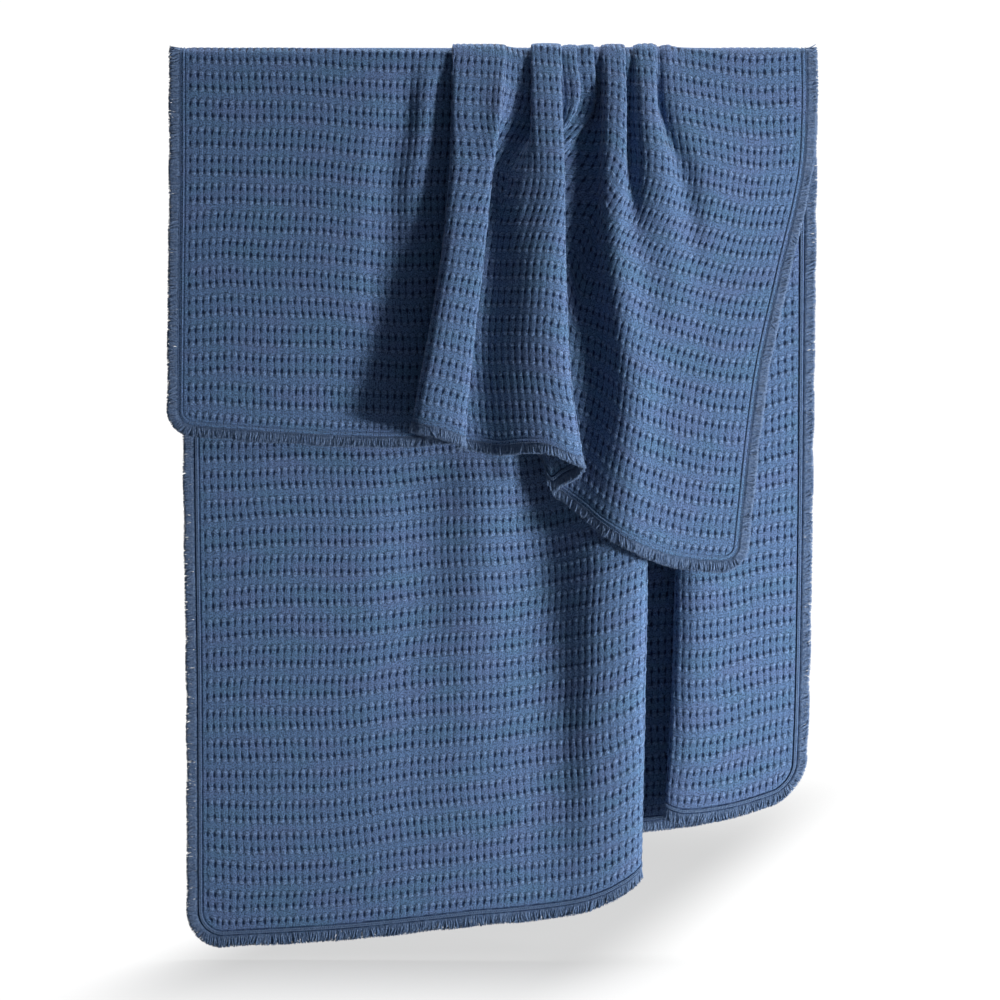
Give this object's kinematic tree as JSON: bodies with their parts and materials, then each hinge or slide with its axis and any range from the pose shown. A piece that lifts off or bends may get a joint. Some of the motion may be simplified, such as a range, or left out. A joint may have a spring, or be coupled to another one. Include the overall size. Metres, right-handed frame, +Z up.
{
  "type": "throw blanket",
  "caption": "Blue cotton throw with a ribbed, slitted waffle weave and cut fringe, draped over a thin rail with a short front flap and a long back flap.",
  "frame": {"origin": "on the axis of the rail the throw hangs over, at the middle of the cloth's hung width", "axes": "+X along the rail to the right as seen from the front, +Y from the short front flap to the long back flap, +Z up"},
  "size_m": [0.86, 0.1443, 1.194],
  "materials": {
    "woven_cotton": "matte soft cotton, ribbed weave with small slits, washed denim blue",
    "fringe_yarn": "matte brushed cotton yarn ends, slightly fuzzy",
    "seam_thread": "matte spun sewing thread, a shade darker than the cloth"
  },
  "bodies": {
    "root": {"cloth_panel": "woven_cotton", "fringe_front_hem": "fringe_yarn", "fringe_back_hem": "fringe_yarn", "fringe_left_side": "fringe_yarn", "fringe_right_side": "fringe_yarn", "needle_thread_outer": "seam_thread", "needle_thread_inner": "seam_thread", "looper_thread": "seam_thread"}
  },
  "joints": []
}
